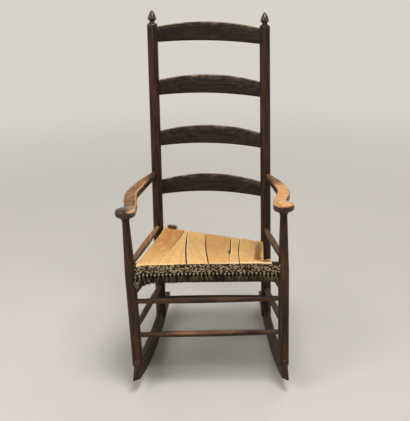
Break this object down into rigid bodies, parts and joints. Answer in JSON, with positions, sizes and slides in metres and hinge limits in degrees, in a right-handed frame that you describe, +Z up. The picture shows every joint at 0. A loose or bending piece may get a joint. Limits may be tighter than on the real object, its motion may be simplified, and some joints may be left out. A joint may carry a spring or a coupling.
{
  "type": "rocking armchair",
  "caption": "Slat-back rocking armchair of dark turned wood with acorn finials, curved knob-ended arms, a split hide seat and a woven fringe along the front rail.",
  "frame": {"origin": "On the floor, under the middle of the chair's bounding box, between the two rockers.", "axes": "+Z up, +X to the right as seen from the front, -Y the way the chair faces."},
  "size_m": [0.4856, 0.5778, 0.9715],
  "materials": {
    "dark_wood": "old dark brown varnish, worn at the edges, satin",
    "brown_wood": "dark reddish brown varnish, rubbed thin on the rungs, satin",
    "worn_wood": "varnish worn through to tan curly wood on top, dark on the sides",
    "seat_hide": "dry tan hide, matt, cracked and split",
    "old_padding": "dark matted fibre",
    "lining_cloth": "coarse dark brown cloth, dusty",
    "woven_braid": "woven braid of cream, olive and brown yarns",
    "looped_fringe": "looped wool fringe",
    "tack_iron": "blackened iron"
  },
  "bodies": {
    "root": {"arm_left": "worn_wood", "arm_right": "worn_wood", "back_post_left": "dark_wood", "back_post_right": "dark_wood", "front_post_left": "brown_wood", "front_post_right": "brown_wood", "front_stretcher_lower": "brown_wood", "front_stretcher_upper": "brown_wood", "rear_stretcher": "brown_wood", "rocker_left": "dark_wood", "rocker_pegs": "brown_wood", "rocker_right": "dark_wood", "seat_lining": "lining_cloth", "seat_padding": "old_padding", "seat_rail_front": "brown_wood", "seat_rail_left": "brown_wood", "seat_rail_rear": "brown_wood", "seat_rail_right": "brown_wood", "seat_strip_1": "seat_hide", "seat_strip_2": "seat_hide", "seat_strip_3": "seat_hide", "seat_strip_4": "seat_hide", "seat_strip_5": "seat_hide", "seat_strip_6": "seat_hide", "seat_tacks": "tack_iron", "side_stretcher_lower_left": "brown_wood", "side_stretcher_lower_right": "brown_wood", "side_stretcher_upper_left": "brown_wood", "side_stretcher_upper_right": "brown_wood", "slat_1": "dark_wood", "slat_2": "dark_wood", "slat_3": "dark_wood", "slat_4": "dark_wood", "trim_band": "woven_braid", "trim_fringe": "looped_fringe", "trim_tacks": "tack_iron"}
  },
  "joints": []
}
